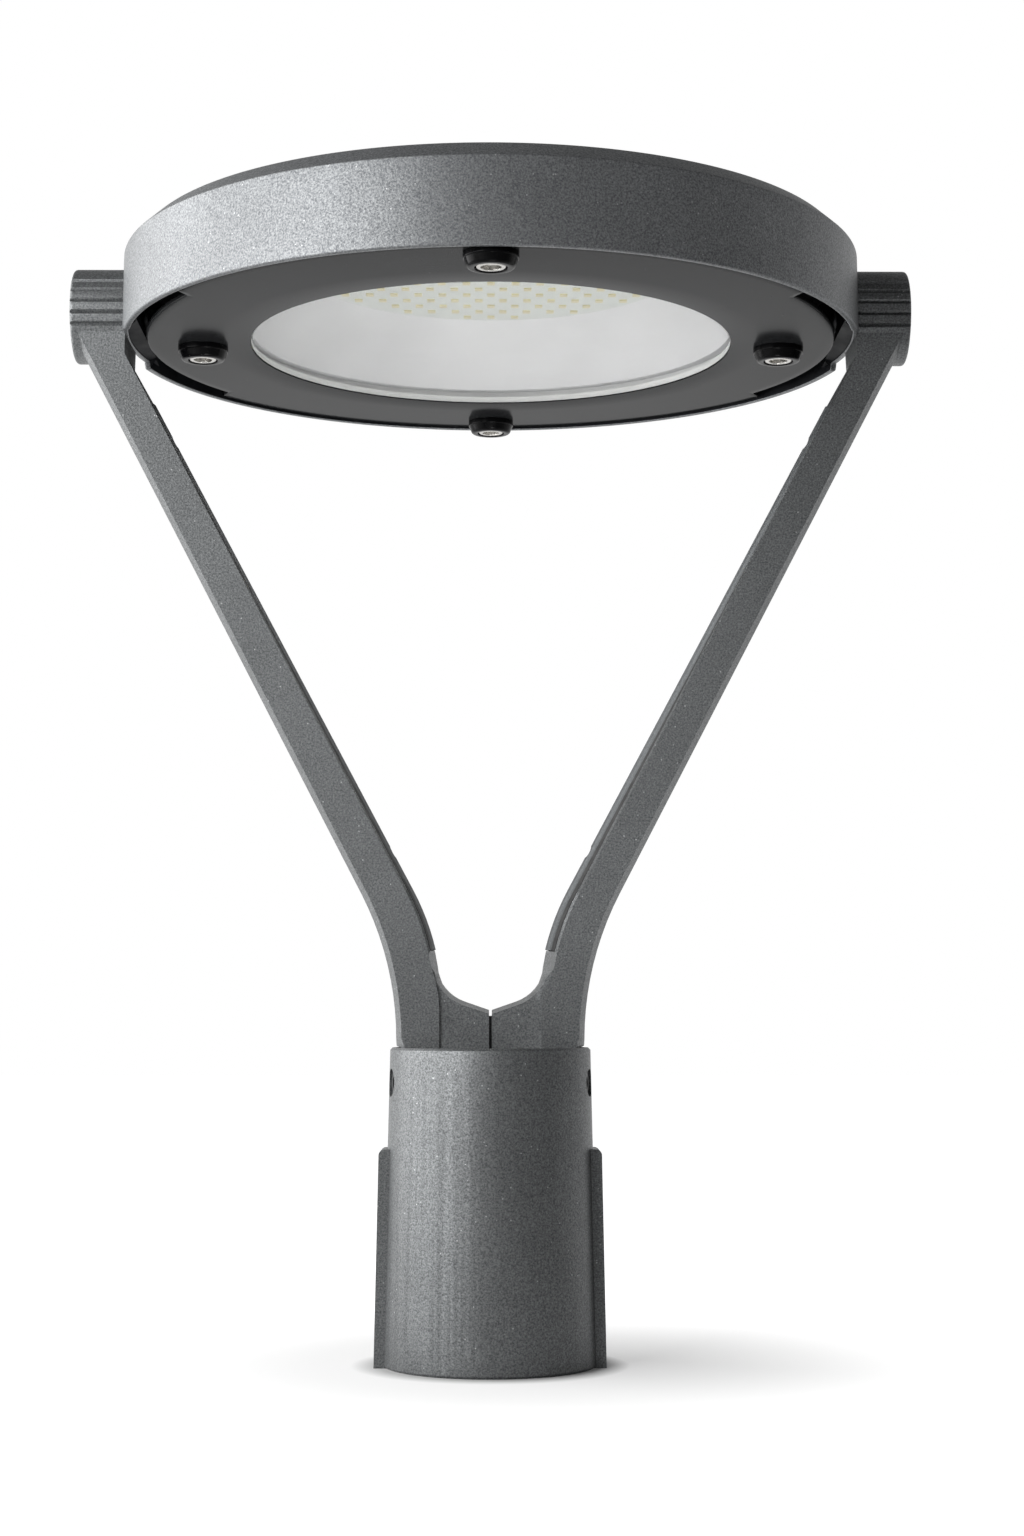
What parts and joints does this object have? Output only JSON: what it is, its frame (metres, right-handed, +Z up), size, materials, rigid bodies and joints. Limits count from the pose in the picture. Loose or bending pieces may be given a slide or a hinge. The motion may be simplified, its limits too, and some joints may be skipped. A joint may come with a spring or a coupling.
{
  "type": "post top light",
  "caption": "Round flat post top light: a shallow drum with a lens underneath, held between cast arms that rise in a Y from a collar that slips over a pole.",
  "frame": {"origin": "centre of the collar's lower face, on the axis of the pole", "axes": "+Z up along the pole, arms in the XZ plane, front towards -Y"},
  "size_m": [0.4296, 0.3782, 0.5726],
  "materials": {
    "casting_coat": "graphite fine texture powder coat",
    "bezel_coat": "satin black powder coat",
    "cover_coat": "satin grey powder coat on an extruded strip",
    "lens_glass": "clear tempered glass, slightly hazy",
    "reflector_white": "white semi gloss",
    "board_white": "white solder mask",
    "chip_yellow": "yellow phosphor",
    "knob_black": "gloss black moulding",
    "steel": "stainless steel",
    "zinc_steel": "zinc plated steel",
    "black_steel": "black oxide",
    "rubber": "black silicone rubber",
    "driver_case": "plain aluminium",
    "terminal_plastic": "grey white plastic",
    "surge_plastic": "dark plastic"
  },
  "bodies": {
    "root": {"collar": "casting_coat", "left_arm": "casting_coat", "right_arm": "casting_coat", "housing": "casting_coat", "left_channel_cover": "cover_coat", "right_channel_cover": "cover_coat", "bezel": "bezel_coat", "lens_glass": "lens_glass", "reflector": "reflector_white", "led_board": "board_white", "led_chips": "chip_yellow", "bezel_knobs": "knob_black", "bezel_screws": "steel", "knob_washers": "rubber", "lens_gasket": "rubber", "chamber_seal": "rubber", "wire_grommet": "rubber", "arm_lock_screws": "black_steel", "pole_set_screws": "black_steel", "channel_cover_screws": "black_steel", "head_bolts": "steel", "head_bolt_washers": "steel", "head_bolt_nuts": "steel", "stop_plate": "zinc_steel", "board_screws": "zinc_steel", "driver_screws": "zinc_steel", "driver_bracket": "zinc_steel", "led_driver": "driver_case", "terminal_block": "terminal_plastic", "surge_protector": "surge_plastic"}
  },
  "joints": []
}
